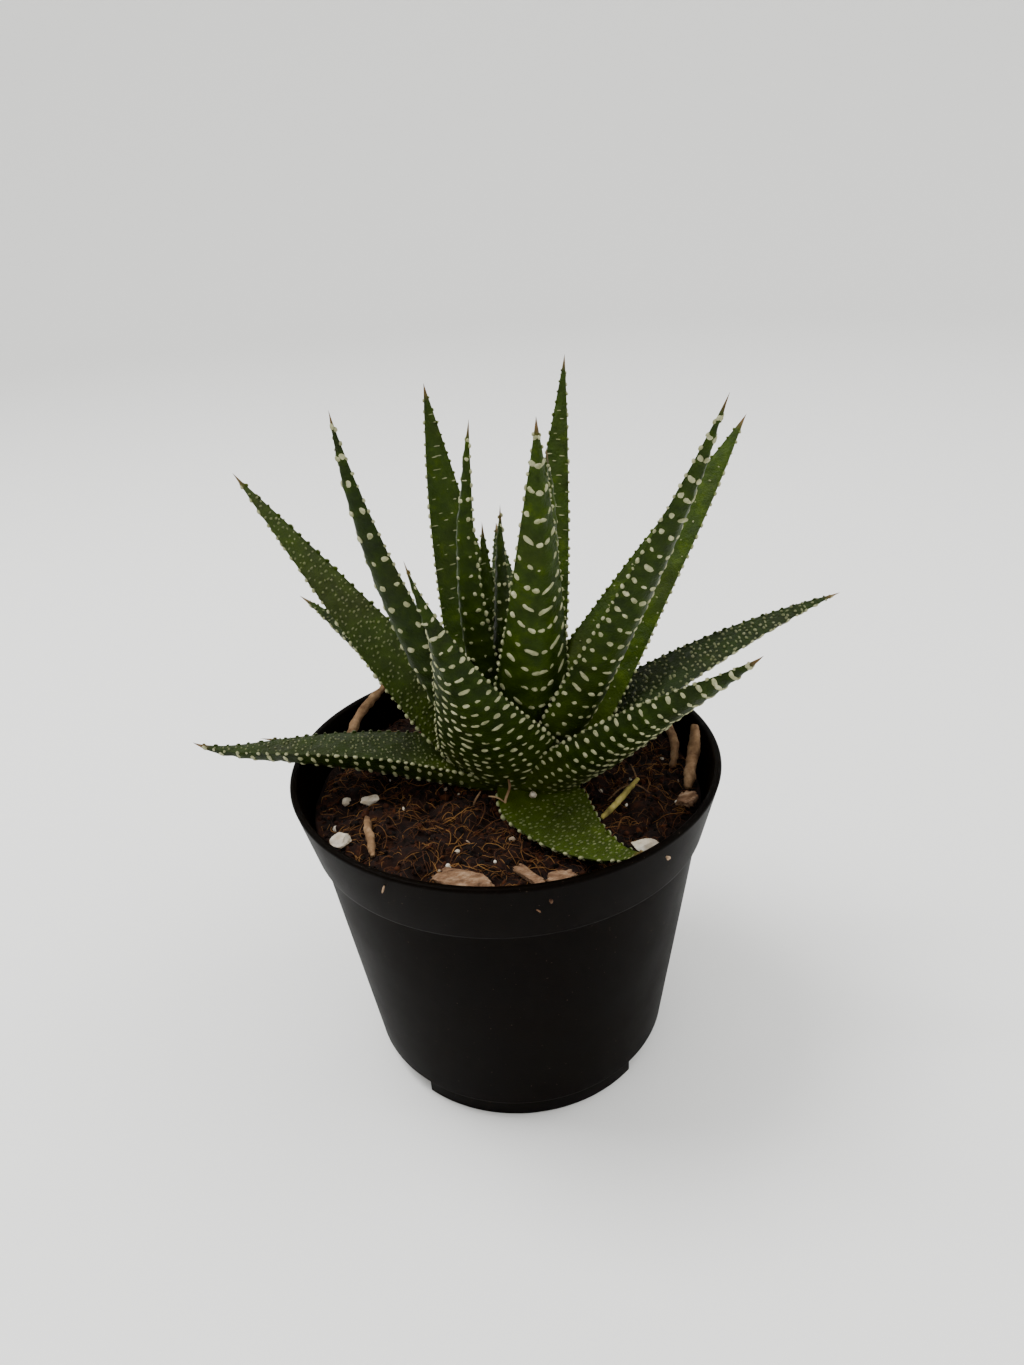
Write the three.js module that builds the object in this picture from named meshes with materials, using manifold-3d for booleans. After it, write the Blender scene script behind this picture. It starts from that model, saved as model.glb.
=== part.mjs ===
// Potted haworthia: a rosette of keeled, pearly-spotted succulent leaves in a round nursery pot.
// Millimetres, +Z up. The origin is the middle of the pot's underside and -Y is the front.
import * as THREE from 'three';
import { mergeVertices } from 'three/addons/utils/BufferGeometryUtils.js';
import Module from 'manifold-3d';

const wasm = await Module();
wasm.setup();

// Driving sizes of the pot.
const POT_HEIGHT = 83;
const RIM_RADIUS = 52.5;
const RIM_LIP = 2.1;
const COLLAR_HEIGHT = 16;
const COLLAR_FOOT_RADIUS = 48.5;
const BODY_TOP_RADIUS = 47.3;
const BODY_FOOT_RADIUS = 38.8;
const FOOT_HEIGHT = 6;
const FOOT_RADIUS = 37.4;
const FOOT_WALL = 1.6;
const WALL = 1.2;
const FLOOR_RISE = 3.6;
const BOSS_RADIUS = 12;
const POT_SEGMENTS = 44;

// Drainage: notches through the foot ring and round holes in the raised floor.
const NOTCH_COUNT = 3;
const NOTCH_WIDTH = 21;
const NOTCH_HEIGHT = 5.2;
const NOTCH_FIRST = -27.5;
const DRAIN_COUNT = 8;
const DRAIN_RADIUS = 3;
const DRAIN_CIRCLE = 25;

// Driving sizes of what the pot holds.
const GAP = 0.3;
const SOIL_LEVEL = 73.6;
const SOIL_LUMP = 0.9;
// The mix is hollowed under the lowest front leaf: where, how wide and how deep.
const HOLLOW = { x: 14, y: -25, spread: 11, depth: 2.3 };
const CROWN_X = 4;
const CROWN_Y = 5;
const CROWN_LEVEL = 74;
const STEM_RADIUS = 5.5;
const STEM_ROOT = 58;
const STEM_TOP = 81;

// A leaf's skin: rings along it, the share of its length they reach, and the places across it, as
// shares of its half width, where each ring has a corner, first over the face, then round the back.
const LEAF_STATIONS = 10;
const LEAF_END = 0.985;
const FACE_ACROSS = [-1, -0.55, 0, 0.55, 1];
const BACK_ACROSS = [0.8, 0.42, 0, -0.42, -0.8];
const FACE_CROWN = 0.12;

const COLOURS = {
  pot: { color: 0x2b2a29, roughness: 0.55, metalness: 0 },
  soil: { color: 0x3a2417, roughness: 1, metalness: 0 },
  leaf: { color: 0x4c5a26, roughness: 0.5, metalness: 0 },
  stem: { color: 0x6b6a3a, roughness: 0.8, metalness: 0 },
  root: { color: 0xa98c66, roughness: 0.9, metalness: 0 },
  bark: { color: 0x9a7550, roughness: 0.95, metalness: 0 },
  perlite: { color: 0xe6e0d4, roughness: 0.95, metalness: 0 },
  twig: { color: 0x9c8f4e, roughness: 0.85, metalness: 0 },
};

// Leaves from the middle of the rosette outwards. The azimuth runs from +X towards +Y and turns by
// bend over the leaf's length. The lean, from upright, goes from lean0 at the base to lean1 at the
// tip, and hook turns the last of the tip further. Roll twists the leaf about its midline. Width is
// across the margins, waist is the share of it left at the base, keel is the depth under the flat
// face, full is how square the keel's flanks stand, and reach and rise are where the base sits from
// the crown's middle. Taper above 1 draws the tip out.
const LEAVES = [
  { name: 'leaf_inner_1', az: -108, lean0: 20, lean1: -13, length: 65, width: 8, keel: 4, reach: 1, rise: 8 },
  { name: 'leaf_inner_2', az: 125, lean0: 20, lean1: -2, length: 59, width: 11, keel: 4, reach: 1, rise: 6 },
  { name: 'leaf_inner_3', az: 10, lean0: 14, lean1: -3, length: 77, width: 12, keel: 4, reach: 2, rise: 6 },
  { name: 'leaf_inner_4', az: -144, lean0: 19, lean1: -10, length: 86, width: 14, keel: 5, reach: 2,
    rise: 6 },
  { name: 'leaf_upright_1', az: -77, lean0: 26, lean1: 4, length: 95, width: 21, keel: 6, reach: 2, rise: 4 },
  { name: 'leaf_upright_2', az: 117, lean0: 30, lean1: 13, length: 94, width: 22, keel: 5, reach: 5,
    rise: 4 },
  { name: 'leaf_upright_3', az: 68, lean0: 30, lean1: 20, length: 100, width: 17, keel: 5, reach: 4,
    rise: 4 },
  { name: 'leaf_middle_1', az: -149, lean0: 35, lean1: 7, length: 101, width: 19, keel: 6, reach: 3, rise: 4,
    roll: 12 },
  { name: 'leaf_middle_2', az: -47, lean0: 32, lean1: 24, length: 112, width: 20, keel: 6, reach: 4, rise: 2,
    roll: -5 },
  { name: 'leaf_middle_3', az: 20, bend: 4, lean0: 36, lean1: 37, length: 99, width: 25, keel: 6, reach: 4,
    rise: 2, roll: 24 },
  { name: 'leaf_middle_4', az: -112, bend: -30, lean0: 38, lean1: 18, length: 80, width: 34, keel: 7,
    reach: 3, rise: 1,
    roll: 10, taper: 2.1 },
  { name: 'leaf_outer_1', az: 173, lean0: 38, lean1: 33, length: 95, width: 20, keel: 6, reach: 6, rise: 2,
    roll: -28 },
  { name: 'leaf_outer_2', az: 5, lean0: 50, lean1: 75, length: 85, width: 21, keel: 6, reach: 5, rise: 2,
    roll: 8 },
  { name: 'leaf_outer_3', az: -42, lean0: 42, lean1: 60, length: 76, width: 25, keel: 8, reach: 6, rise: 1,
    roll: -22, hook: -14, full: 2.6 },
  { name: 'leaf_low_1', az: -174, bend: -4, lean0: 61, lean1: 105, length: 75, width: 18, keel: 8, reach: 6,
    rise: 2.8, hook: -48, full: 3.5 },
  { name: 'leaf_low_2', az: -17, lean0: 67, lean1: 48, length: 44, width: 16, keel: 5, reach: 6, rise: 1 },
  { name: 'leaf_low_3', az: -76, bend: 46, lean0: 98, lean1: 77, length: 45, width: 24, keel: 5, reach: 8,
    rise: 2.6, hook: -20, full: 3, waist: 0.7 },
  { name: 'leaf_back_1', az: 92, lean0: 48, lean1: 58, length: 72, width: 17, keel: 6, reach: 6, rise: 2 },
  { name: 'leaf_back_2', az: 148, lean0: 52, lean1: 66, length: 70, width: 17, keel: 6, reach: 6, rise: 2 },
  { name: 'leaf_back_3', az: 55, lean0: 62, lean1: 74, length: 62, width: 17, keel: 6, reach: 6, rise: 2 },
  { name: 'leaf_low_4', az: 176, lean0: 81, lean1: 81, length: 60, width: 11, keel: 3, reach: 6, rise: 3 },
];

const plant = new THREE.Group();

function solidOf(geometry) {
  const bare = geometry.clone();
  bare.deleteAttribute('normal');
  bare.deleteAttribute('uv');
  const merged = mergeVertices(bare, 1e-4);
  const index = merged.index.array;
  const faces = [];
  for (let i = 0; i < index.length; i += 3) {
    const [a, b, c] = [index[i], index[i + 1], index[i + 2]];
    if (a !== b && b !== c && c !== a) faces.push(a, b, c);
  }
  return new wasm.Manifold(new wasm.Mesh({
    numProp: 3,
    vertProperties: new Float32Array(merged.attributes.position.array),
    triVerts: new Uint32Array(faces),
  }));
}

function addPiece(name, look, solid) {
  const mesh = solid.getMesh();
  const geometry = new THREE.BufferGeometry();
  geometry.setAttribute('position', new THREE.BufferAttribute(new Float32Array(mesh.vertProperties), 3));
  geometry.setIndex(new THREE.BufferAttribute(new Uint32Array(mesh.triVerts), 1));
  geometry.computeVertexNormals();
  const piece = new THREE.Mesh(geometry, new THREE.MeshStandardMaterial(COLOURS[look]));
  piece.name = name;
  plant.add(piece);
}

// The largest piece of a cut solid: slivers left beside a cut are dropped.
function largest(solid) {
  const parts = solid.decompose();
  return parts.reduce((best, part) => (part.volume() > best.volume() ? part : best));
}

// A solid turned about +Z from a profile of [radius, height] points.
function turned(profile, segments) {
  const points = profile.map(([r, z]) => new THREE.Vector2(r, z));
  const geometry = new THREE.LatheGeometry(points, segments);
  geometry.rotateX(Math.PI / 2);
  return solidOf(geometry);
}

// A closed skin over a stack of rings of equal length, from the first ring to the last.
function skinned(rings) {
  const count = rings[0].length;
  const vertices = rings.flat();
  const faces = [];
  for (let i = 0; i + 1 < rings.length; i += 1) {
    for (let j = 0; j < count; j += 1) {
      const a = i * count + j;
      const b = i * count + (j + 1) % count;
      faces.push(a, b, a + count, b, b + count, a + count);
    }
  }
  for (const [ring, flip] of [[0, true], [rings.length - 1, false]]) {
    const middle = new THREE.Vector3();
    rings[ring].forEach((point) => middle.addScaledVector(point, 1 / count));
    vertices.push(middle);
    for (let j = 0; j < count; j += 1) {
      const a = ring * count + j;
      const b = ring * count + (j + 1) % count;
      faces.push(vertices.length - 1, flip ? b : a, flip ? a : b);
    }
  }
  const geometry = new THREE.BufferGeometry().setFromPoints(vertices);
  geometry.setIndex(faces);
  return solidOf(geometry);
}

const { degToRad, clamp, lerp } = THREE.MathUtils;

// Pot: a tapered body under a wider collar, on a foot ring with a low boss in the middle.
function makePot() {
  const collarFoot = POT_HEIGHT - COLLAR_HEIGHT;
  const outside = [
    [0, 0],
    [BOSS_RADIUS, 0],
    [BOSS_RADIUS + 2, FLOOR_RISE],
    [FOOT_RADIUS - FOOT_WALL, FLOOR_RISE],
    [FOOT_RADIUS - FOOT_WALL, 0],
    [FOOT_RADIUS, 0],
    [FOOT_RADIUS, FOOT_HEIGHT - 0.5],
    [BODY_FOOT_RADIUS, FOOT_HEIGHT],
    [BODY_TOP_RADIUS, collarFoot],
    [COLLAR_FOOT_RADIUS, collarFoot],
    [RIM_RADIUS - 0.3, POT_HEIGHT - 0.5],
    [RIM_RADIUS - 0.6, POT_HEIGHT],
  ];
  const inside = [
    [RIM_RADIUS - RIM_LIP, POT_HEIGHT],
    [BODY_TOP_RADIUS, collarFoot + WALL],
    [BODY_TOP_RADIUS - WALL, collarFoot],
    [BODY_FOOT_RADIUS - WALL, FOOT_HEIGHT + WALL],
    [BODY_FOOT_RADIUS - WALL - 1, FLOOR_RISE + WALL],
    [BOSS_RADIUS + 1.4, FLOOR_RISE + WALL],
    [BOSS_RADIUS - 0.4, WALL],
    [0, WALL],
  ];
  let pot = turned([...outside, ...inside], POT_SEGMENTS);
  for (let i = 0; i < NOTCH_COUNT; i += 1) {
    const notch = new THREE.BoxGeometry(6, NOTCH_WIDTH, 2 * NOTCH_HEIGHT);
    notch.translate(FOOT_RADIUS - 1, 0, 0);
    notch.rotateZ(degToRad(NOTCH_FIRST + i * 360 / NOTCH_COUNT));
    pot = pot.subtract(solidOf(notch));
  }
  for (let i = 0; i < DRAIN_COUNT; i += 1) {
    const angle = (i + 0.5) * 2 * Math.PI / DRAIN_COUNT;
    const drain = new THREE.CylinderGeometry(DRAIN_RADIUS, DRAIN_RADIUS, 4 * WALL, 12);
    drain.rotateX(Math.PI / 2);
    drain.translate(DRAIN_CIRCLE * Math.cos(angle), DRAIN_CIRCLE * Math.sin(angle), FLOOR_RISE);
    pot = pot.subtract(solidOf(drain));
  }
  return pot;
}

// Height of the coir surface: soft lumps that die out towards the wall.
function soilHeight(x, y) {
  const broad = Math.sin(x * 0.31 + 1.2) * Math.cos(y * 0.27 - 0.4);
  const lumps = broad + 0.6 * Math.sin(x * 0.63 - y * 0.52);
  const edge = clamp((Math.hypot(x, y) - 38) / 10, 0, 1);
  const away = Math.hypot(x - HOLLOW.x, y - HOLLOW.y) / HOLLOW.spread;
  const hollow = HOLLOW.depth * Math.exp((-away * away) / 2);
  return SOIL_LEVEL + SOIL_LUMP * lumps * (1 - 0.5 * edge) - 1.2 * edge - hollow;
}

// Root ball: the coir mix that fills the pot up to some way below the rim.
function makeSoil(raise) {
  const segments = 40;
  const shoulder = POT_HEIGHT - COLLAR_HEIGHT;
  const filled = (SOIL_LEVEL - shoulder) / COLLAR_HEIGHT;
  const mouth = lerp(BODY_TOP_RADIUS, RIM_RADIUS - RIM_LIP, filled) - 2 * GAP;
  const sides = [
    [BODY_FOOT_RADIUS - WALL - 1.8, FOOT_HEIGHT + 1],
    [BODY_TOP_RADIUS - WALL - 2 * GAP, shoulder],
    [BODY_TOP_RADIUS - 2 * GAP, shoulder + WALL + GAP],
  ];
  const circle = (radius, height) => {
    const ring = [];
    for (let j = 0; j < segments; j += 1) {
      const angle = j * 2 * Math.PI / segments;
      const x = radius * Math.cos(angle);
      const y = radius * Math.sin(angle);
      ring.push(new THREE.Vector3(x, y, height === null ? soilHeight(x, y) + raise : height));
    }
    return ring;
  };
  const rings = sides.map(([radius, height]) => circle(radius, height));
  for (const share of [1, 0.86, 0.7, 0.54, 0.38, 0.22, 0.08]) rings.push(circle(mouth * share, null));
  return skinned(rings);
}

// Stem: the short crown that carries the leaves, grown into the root ball.
function makeStem(grow) {
  const stem = turned([
    [0, STEM_ROOT - grow],
    [STEM_RADIUS - 2.5 + grow, STEM_ROOT - grow],
    [STEM_RADIUS + grow, SOIL_LEVEL - 3],
    [STEM_RADIUS - 0.5 + grow, SOIL_LEVEL + 3],
    [STEM_RADIUS - 3 + grow, STEM_TOP - 1 + grow],
    [0, STEM_TOP + grow],
  ], 16);
  return stem.translate([CROWN_X, CROWN_Y, 0]);
}

// A leaf: rings strung along a curved midline, flat above and keeled below, ending in a point.
function makeLeaf(leaf, grow) {
  const { az, bend = 0, lean0, lean1, hook = 0, roll = 0, length, width, keel, reach, rise } = leaf;
  const { taper = 1, waist = 0.84, full = 1.8 } = leaf;
  const outline = taper > 1 ? 1.9 : 1.5;
  const twist = degToRad(roll);
  const point = new THREE.Vector3(
    CROWN_X + reach * Math.cos(degToRad(az)),
    CROWN_Y + reach * Math.sin(degToRad(az)),
    CROWN_LEVEL + rise,
  );
  const rings = [];
  const last = LEAF_STATIONS - 1;
  for (let i = 0; i <= last; i += 1) {
    const s = LEAF_END * i / last;
    const lean = degToRad(lerp(lean0, lean1, s) + hook * s ** 8);
    const turn = degToRad(az + bend * s ** 1.5);
    const along = new THREE.Vector3(
      Math.sin(lean) * Math.cos(turn), Math.sin(lean) * Math.sin(turn), Math.cos(lean));
    const face = new THREE.Vector3(
      -Math.cos(lean) * Math.cos(turn), -Math.cos(lean) * Math.sin(turn), Math.sin(lean));
    face.applyAxisAngle(along, twist);
    const side = new THREE.Vector3().crossVectors(along, face);
    if (i > 0) point.addScaledVector(along, LEAF_END * length / last);
    const swell = waist + (1 - waist) * clamp(s / 0.22, 0, 1);
    const half = width / 2 * swell * (1 - s ** outline) ** taper + 1.5 * grow;
    const depth = keel * (0.75 + 0.25 * clamp(s / 0.3, 0, 1)) * (1 - s ** 1.6) ** 0.9;
    const shift = i === 0 ? -grow : 0;
    const place = (x, height) => point.clone()
      .addScaledVector(along, shift)
      .addScaledVector(side, half * x)
      .addScaledVector(face, height);
    rings.push([
      ...FACE_ACROSS.map((x) => place(x, FACE_CROWN * depth * (1 - x * x) + grow)),
      ...BACK_ACROSS.map((x) => place(x, -depth * (1 - Math.abs(x) ** full) - grow)),
    ]);
  }
  return skinned(rings);
}

// A round root or twig along a smooth curve through a few points.
function makeRoot(points, radius) {
  const section = new THREE.Shape();
  const sides = 7;
  for (let j = 0; j < sides; j += 1) {
    const angle = j * 2 * Math.PI / sides;
    const [x, y] = [radius * Math.cos(angle), radius * Math.sin(angle)];
    if (j === 0) section.moveTo(x, y);
    else section.lineTo(x, y);
  }
  const path = new THREE.CatmullRomCurve3(points.map((p) => new THREE.Vector3(...p)));
  const steps = Math.max(4, Math.round(path.getLength() / (2.5 * radius)));
  return solidOf(new THREE.ExtrudeGeometry(section, { steps, extrudePath: path, bevelEnabled: false }));
}

// Corners of a broken flake, as shares of its length and width.
const CHIP_CORNERS = [
  [-0.5, -0.2], [-0.3, -0.5], [0.2, -0.42], [0.5, -0.15], [0.42, 0.35], [0.05, 0.5], [-0.4, 0.3],
];

// A flat flake of bark with a broken outline, tipped on its bed.
function makeChip({ at, long, wide, thick, turn, tip }) {
  const outline = new THREE.Shape();
  CHIP_CORNERS.forEach(([x, y], j) => {
    if (j === 0) outline.moveTo(x * long, y * wide);
    else outline.lineTo(x * long, y * wide);
  });
  const chip = new THREE.ExtrudeGeometry(outline, { depth: thick, bevelEnabled: false });
  chip.rotateX(degToRad(tip));
  chip.rotateZ(degToRad(turn));
  chip.translate(...at);
  return solidOf(chip);
}

// A grain of perlite: a knobbly lump, a little flattened.
function makeGrain({ at, size, turn }) {
  const grain = new THREE.IcosahedronGeometry(0.5, 1);
  const position = grain.attributes.position;
  for (let i = 0; i < position.count; i += 1) {
    const [x, y, z] = [position.getX(i), position.getY(i), position.getZ(i)];
    const knob = 1 + 0.12 * Math.sin(9 * x + turn) * Math.cos(8 * y - turn) + 0.08 * Math.sin(11 * z);
    position.setXYZ(i, x * knob * size[0], y * knob * size[1], z * knob * size[2]);
  }
  grain.rotateZ(degToRad(turn));
  grain.translate(...at);
  return solidOf(grain);
}

const ROOTS = [
  { name: 'root_back_left', radius: 1.3,
    points: [[-31, 36, 86], [-37.5, 29, 82], [-40.5, 23.5, 78.5], [-41, 18, 74]] },
  { name: 'root_front_left', radius: 1,
    points: [[-33.8, -12.2, 75.5], [-33, -17, 75.3], [-32, -22, 75], [-31.4, -26, 74]] },
  { name: 'root_right_1', radius: 1.5, points: [[48, 6, 84], [47, 2, 80], [46, -1, 77], [44, -6.5, 73.6]] },
  { name: 'root_right_2', radius: 1.1,
    points: [[41.5, 18, 80.5], [43, 13, 78.8], [43.4, 8, 76.8], [42, 3, 73.8]] },
];
const TWIG = { radius: 0.8, points: [[21.5, -18.6, 74.6], [26, -13, 75.2], [31.8, -6.3, 77]] };
const CHIPS = [
  { name: 'bark_front_left', at: [-11, -37.6, 73.6], long: 12, wide: 4.5, thick: 1.8, turn: -22, tip: 14 },
  { name: 'bark_front', at: [3.6, -37.2, 73.6], long: 9, wide: 2.4, thick: 1.3, turn: -52, tip: 8 },
  { name: 'bark_front_right', at: [10.2, -38.2, 73.5], long: 5.5, wide: 2.8, thick: 1.4, turn: 20, tip: 16 },
  { name: 'bark_right', at: [42.6, -12.5, 73.4], long: 5, wide: 4, thick: 2, turn: 60, tip: -6 },
];
const GRAINS = [
  { name: 'perlite_left', at: [-38.8, -20.3, 74.4], size: [5.6, 4.6, 4.4], turn: 20 },
  { name: 'perlite_left_back', at: [-33.8, -4.6, 74.6], size: [6, 3, 2.8], turn: 8 },
  { name: 'perlite_left_small', at: [-39.6, -3.6, 74.2], size: [2.6, 2.2, 2.4], turn: 50 },
  { name: 'perlite_right', at: [30, -29.6, 74.2], size: [7, 4.2, 3.4], turn: -4 },
  { name: 'perlite_crown', at: [6, -9.5, 76.6], size: [2.8, 2.2, 2.2], turn: 75 },
];

addPiece('pot', 'pot', makePot());

const raisedSoil = makeSoil(GAP);
addPiece('root_ball', 'soil', makeSoil(0).subtract(makeStem(GAP)));
addPiece('stem', 'stem', makeStem(0));

// Each leaf gives way to the stem, the soil and every leaf nearer the middle of the rosette.
let taken = makeStem(GAP).add(raisedSoil);
for (const leaf of LEAVES) {
  addPiece(leaf.name, 'leaf', largest(makeLeaf(leaf, 0).subtract(taken)));
  taken = taken.add(makeLeaf(leaf, GAP));
}

// Loose pieces lie on the soil: what would sink into it, or into a leaf, is trimmed away.
const loose = [
  ...ROOTS.map((root) => [root.name, 'root', makeRoot(root.points, root.radius)]),
  ['twig', 'twig', makeRoot(TWIG.points, TWIG.radius)],
  ...CHIPS.map((chip) => [chip.name, 'bark', makeChip(chip)]),
  ...GRAINS.map((grain) => [grain.name, 'perlite', makeGrain(grain)]),
];
for (const [name, look, solid] of loose) addPiece(name, look, largest(solid.subtract(taken)));

export default plant;
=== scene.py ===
"""Potted haworthia: spotted succulent leaves, coir potting mix and a black nursery pot."""
import math

import bmesh
import bpy
import numpy as np
from mathutils import Matrix, Vector


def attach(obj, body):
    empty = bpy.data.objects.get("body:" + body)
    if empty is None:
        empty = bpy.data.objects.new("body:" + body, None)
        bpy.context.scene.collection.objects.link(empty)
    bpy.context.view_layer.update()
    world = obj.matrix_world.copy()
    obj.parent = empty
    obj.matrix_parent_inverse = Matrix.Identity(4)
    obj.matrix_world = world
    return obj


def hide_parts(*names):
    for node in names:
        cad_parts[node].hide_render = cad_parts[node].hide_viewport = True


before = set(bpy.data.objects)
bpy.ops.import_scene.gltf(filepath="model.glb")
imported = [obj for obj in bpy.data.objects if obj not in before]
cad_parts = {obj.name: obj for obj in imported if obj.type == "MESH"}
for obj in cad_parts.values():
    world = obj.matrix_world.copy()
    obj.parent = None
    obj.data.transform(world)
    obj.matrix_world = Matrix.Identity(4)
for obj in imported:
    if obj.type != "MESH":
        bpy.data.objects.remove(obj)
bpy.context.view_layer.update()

MM = 0.001

# ---------------------------------------------------------------- small helpers


def linear(hex_colour):
    """An sRGB hex colour as linear RGBA."""
    parts = [int(hex_colour[i:i + 2], 16) / 255 for i in (1, 3, 5)]
    parts = [c / 12.92 if c <= 0.04045 else ((c + 0.055) / 1.055) ** 2.4 for c in parts]
    return (*parts, 1.0)


def add(tree, kind, ramp=None, **given):
    """Adds a shader node. Keys name its settings or its inputs; in0, in1 count inputs."""
    made = tree.nodes.new("ShaderNode" + kind)
    for key, value in given.items():
        if key[:2] == "in" and key[2:].isdigit():
            socket = made.inputs[int(key[2:])]
        elif key[0].isupper():
            socket = made.inputs[key.replace("_", " ")]
        else:
            setattr(made, key, value)
            continue
        if isinstance(value, bpy.types.NodeSocket):
            tree.links.new(value, socket)
        else:
            socket.default_value = linear(value) if isinstance(value, str) else value
    if ramp:
        stops = made.color_ramp.elements
        while len(stops) < len(ramp):
            stops.new(1.0)
        for stop, (place, colour) in zip(stops, ramp):
            stop.position = place
            stop.color = linear(colour) if isinstance(colour, str) else (colour,) * 3 + (1.0,)
    return made


def per(size_mm):
    """The texture scale that makes a pattern's features size_mm across."""
    return 1 / (size_mm * MM)


def material(name, **constants):
    """A new material with a Principled shader; returns it, its tree and the shader."""
    made = bpy.data.materials.new(name)
    made.use_nodes = True
    shader = made.node_tree.nodes["Principled BSDF"]
    for key, value in constants.items():
        socket = shader.inputs[key.replace("_", " ")]
        socket.default_value = linear(value) if isinstance(value, str) else value
    return made, made.node_tree, shader


def piece(name, points, faces, skin, replaced=None, smooth=True, marks=None):
    """A mesh piece of the plant, in metres from points in millimetres, riding on the root."""
    mesh = bpy.data.meshes.new(name)
    points = np.asarray(points, float) * MM
    loops = np.concatenate([np.asarray(f, int).ravel() for f in faces])
    sizes = np.concatenate([np.full(len(f), np.asarray(f).shape[1]) for f in faces])
    mesh.vertices.add(len(points))
    mesh.vertices.foreach_set("co", points.ravel())
    mesh.loops.add(len(loops))
    mesh.loops.foreach_set("vertex_index", loops)
    mesh.polygons.add(len(sizes))
    mesh.polygons.foreach_set("loop_start", np.concatenate([[0], np.cumsum(sizes)[:-1]]))
    mesh.polygons.foreach_set("use_smooth", np.full(len(sizes), smooth))
    mesh.update(calc_edges=True)
    for key, values in (marks or {}).items():
        layer = mesh.attributes.new(key, "FLOAT_VECTOR", "POINT")
        layer.data.foreach_set("vector", np.asarray(values, float).ravel())
    mesh.validate()
    mesh.materials.append(skin)
    made = bpy.data.objects.new(name, mesh)
    bpy.context.scene.collection.objects.link(made)
    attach(made, "root")
    if replaced:
        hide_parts(replaced)
    return made


def ripple(points, size, seed, waves=9):
    """Smooth pseudo-random height in about -1..1 with features of the given size."""
    source = np.random.default_rng(seed)
    total = np.zeros(len(points))
    for _ in range(waves):
        way = source.normal(size=3)
        way *= 2 * math.pi / (size * source.uniform(0.7, 1.6) * np.linalg.norm(way))
        total += np.sin(points @ way + source.uniform(0, 6.28))
    return total / math.sqrt(waves) * 0.9


def normalised(vectors):
    return vectors / np.linalg.norm(vectors, axis=-1, keepdims=True)


def grid_faces(rows, columns, closed):
    """Quads over a grid of rows by columns; closed joins the last column to the first."""
    wide = columns if closed else columns - 1
    i, j = np.meshgrid(np.arange(rows - 1), np.arange(wide), indexing="ij")
    k = (j + 1) % columns
    here, above = i * columns, (i + 1) * columns
    return np.stack([here + j, here + k, above + k, above + j], -1).reshape(-1, 4)


def closed_ends(rows, columns):
    """Triangles that close both ends of a stack of rings to the two points that follow them."""
    ring = np.arange(columns)
    after = (ring + 1) % columns
    last = (rows - 1) * columns
    low = rows * columns
    return np.concatenate([
        np.stack([ring * 0 + low, after, ring], -1),
        np.stack([ring * 0 + low + 1, last + ring, last + after], -1)])


# ---------------------------------------------------------------- materials


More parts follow.
